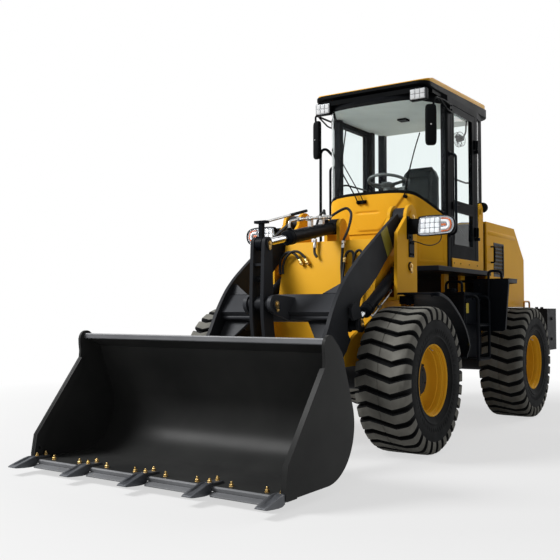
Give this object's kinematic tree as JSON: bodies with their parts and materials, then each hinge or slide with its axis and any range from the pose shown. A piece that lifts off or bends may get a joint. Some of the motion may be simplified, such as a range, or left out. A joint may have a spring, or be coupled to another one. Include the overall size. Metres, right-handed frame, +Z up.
{
  "type": "articulated wheel loader",
  "caption": "Compact articulated wheel loader with a toothed bucket on a Z-bar boom, glazed cab with side doors, tilting rear hood and counterweight.",
  "frame": {"origin": "on the ground under the middle of the machine", "axes": "+X forward towards the bucket, +Y to the left of the driver, +Z up"},
  "size_m": [5.88, 2.04, 3.1988],
  "materials": {
    "yellow_paint": "satin",
    "black_paint": "satin",
    "cast_iron": "matte",
    "bucket_steel": "satin",
    "worn_steel": "satin",
    "chrome_rod": "polished",
    "tyre_rubber": "matte",
    "tinted_glass": "clear",
    "black_plastic": "matte",
    "seat_cover": "satin"
  },
  "bodies": {
    "rear_frame": {"rear_frame": "yellow_paint", "rear_axle": "cast_iron", "engine": "cast_iron", "counterweight": "cast_iron", "side_tanks": "black_paint", "boarding_steps": "black_paint", "rear_fenders": "black_plastic", "cab_floor": "black_paint", "cab_frame": "black_paint", "cab_cowl": "yellow_paint", "cab_back_panel": "black_paint", "cab_roof": "yellow_paint", "roof_visor": "black_plastic", "windshield": "tinted_glass", "rear_windows": "tinted_glass", "operator_seat": "seat_cover", "steering_column": "black_plastic", "side_console": "black_plastic", "work_lights": "black_plastic", "mirrors": "black_plastic"},
    "front_frame": {"front_frame": "yellow_paint", "front_axle": "cast_iron", "front_fenders": "black_plastic", "headlights": "black_plastic"},
    "boom": {"boom_left_arm": "black_paint", "boom_right_arm": "black_paint", "boom_cross_beam": "black_paint"},
    "bell_crank": {"bell_crank": "black_paint"},
    "bucket_link": {"bucket_link": "black_paint"},
    "bucket": {"bucket": "bucket_steel", "bucket_edge": "worn_steel"},
    "tilt_barrel": {"tilt_barrel": "black_paint"},
    "tilt_rod": {"tilt_rod": "chrome_rod"},
    "lift_barrels": {"lift_barrels": "black_paint"},
    "lift_rods": {"lift_rods": "chrome_rod"},
    "left_door": {"left_door": "black_paint", "left_door_glass": "tinted_glass"},
    "right_door": {"right_door": "black_paint", "right_door_glass": "tinted_glass"},
    "hood": {"hood": "yellow_paint"},
    "steer_barrel_left": {"steer_barrel_left": "black_paint"},
    "steer_rod_left": {"steer_rod_left": "chrome_rod"},
    "steer_barrel_right": {"steer_barrel_right": "black_paint"},
    "steer_rod_right": {"steer_rod_right": "chrome_rod"},
    "front_left_wheel": {"front_left_tyre": "tyre_rubber", "front_left_rim": "yellow_paint"},
    "front_right_wheel": {"front_right_tyre": "tyre_rubber", "front_right_rim": "yellow_paint"},
    "rear_left_wheel": {"rear_left_tyre": "tyre_rubber", "rear_left_rim": "yellow_paint"},
    "rear_right_wheel": {"rear_right_tyre": "tyre_rubber", "rear_right_rim": "yellow_paint"}
  },
  "joints": [
    {"name": "steer", "type": "hinge", "parent": "rear_frame", "child": "front_frame", "pos_m": [-0.565, 0, 0.715], "axis": [0, 0, 1], "range_deg": [-35, 35]},
    {"name": "front_left_wheel_spin", "type": "hinge", "parent": "front_frame", "child": "front_left_wheel", "pos_m": [0.705, 0.805, 0.55], "axis": [0, 1, 0], "continuous": true},
    {"name": "front_right_wheel_spin", "type": "hinge", "parent": "front_frame", "child": "front_right_wheel", "pos_m": [0.705, -0.805, 0.55], "axis": [0, 1, 0], "continuous": true},
    {"name": "rear_left_wheel_spin", "type": "hinge", "parent": "rear_frame", "child": "rear_left_wheel", "pos_m": [-1.835, 0.805, 0.55], "axis": [0, 1, 0], "continuous": true},
    {"name": "rear_right_wheel_spin", "type": "hinge", "parent": "rear_frame", "child": "rear_right_wheel", "pos_m": [-1.835, -0.805, 0.55], "axis": [0, 1, 0], "continuous": true},
    {"name": "boom_lift", "type": "hinge", "parent": "front_frame", "child": "boom", "pos_m": [0.235, 0, 1.835], "axis": [0, -1, 0], "range_deg": [-2, 79]},
    {"name": "bucket_tilt", "type": "hinge", "parent": "boom", "child": "bucket", "pos_m": [1.905, 0, 0.3], "axis": [0, 1, 0], "range_deg": [-42, 110]},
    {"name": "crank_turn", "type": "hinge", "parent": "boom", "child": "bell_crank", "pos_m": [1.5299, 0, 1.114], "axis": [0, -1, 0], "range_deg": [-7.31, 17.52]},
    {"name": "link_turn", "type": "hinge", "parent": "bell_crank", "child": "bucket_link", "pos_m": [1.3799, 0, 0.464], "axis": [0, 1, 0], "range_deg": [-10.01, 24.58]},
    {"name": "tilt_swing", "type": "hinge", "parent": "front_frame", "child": "tilt_barrel", "pos_m": [0.445, 0, 1.775], "axis": [0, -1, 0], "range_deg": [-3.25, 90.06]},
    {"name": "tilt_slide", "type": "slide", "parent": "tilt_barrel", "child": "tilt_rod", "axis": [0.9801, 0, -0.1987], "range_m": [-0.0096, 0.186]},
    {"name": "lift_swing", "type": "hinge", "parent": "front_frame", "child": "lift_barrels", "pos_m": [0.275, 0, 1.43], "axis": [0, -1, 0], "range_deg": [-3.04, 81.48]},
    {"name": "lift_slide", "type": "slide", "parent": "lift_barrels", "child": "lift_rods", "axis": [0.8604, 0, -0.5096], "range_m": [-0.0181, 0.5233]},
    {"name": "steer_swing_left", "type": "hinge", "parent": "rear_frame", "child": "steer_barrel_left", "pos_m": [-1.015, 0.3, 0.715], "axis": [0, 0, 1], "range_deg": [-19.54, 19.54]},
    {"name": "steer_slide_left", "type": "slide", "parent": "steer_barrel_left", "child": "steer_rod_left", "axis": [0.9985, 0.0543, 0], "range_m": [-0.1999, 0.1999]},
    {"name": "left_door_open", "type": "hinge", "parent": "rear_frame", "child": "left_door", "pos_m": [-1.26, 0.62, 2.2], "axis": [0, 0, 1], "range_deg": [0, 150]},
    {"name": "steer_swing_right", "type": "hinge", "parent": "rear_frame", "child": "steer_barrel_right", "pos_m": [-1.015, -0.3, 0.715], "axis": [0, 0, 1], "range_deg": [-19.54, 19.54]},
    {"name": "steer_slide_right", "type": "slide", "parent": "steer_barrel_right", "child": "steer_rod_right", "axis": [0.9985, -0.0543, 0], "range_m": [-0.1999, 0.1999]},
    {"name": "right_door_open", "type": "hinge", "parent": "rear_frame", "child": "right_door", "pos_m": [-1.26, -0.62, 2.2], "axis": [0, 0, -1], "range_deg": [0, 150]},
    {"name": "hood_open", "type": "hinge", "parent": "rear_frame", "child": "hood", "pos_m": [-2.835, 0, 1.146], "axis": [0, -1, 0], "range_deg": [0, 55]}
  ],
  "couplings": [
    {"joint": "crank_turn", "follows": "bucket_tilt", "ratio": 0.1502},
    {"joint": "link_turn", "follows": "bucket_tilt", "ratio": 0.2144},
    {"joint": "tilt_swing", "follows": "boom_lift", "ratio": 1.1273},
    {"joint": "tilt_slide", "follows": "boom_lift", "m_per_rad": 0.13128},
    {"joint": "lift_swing", "follows": "boom_lift", "ratio": 1.0187},
    {"joint": "lift_slide", "follows": "boom_lift", "m_per_rad": 0.37589},
    {"joint": "steer_swing_left", "follows": "steer", "ratio": 0.52956},
    {"joint": "steer_slide_left", "follows": "steer", "m_per_rad": -0.31901},
    {"joint": "steer_swing_right", "follows": "steer", "ratio": 0.52956},
    {"joint": "steer_slide_right", "follows": "steer", "m_per_rad": 0.31901}
  ]
}
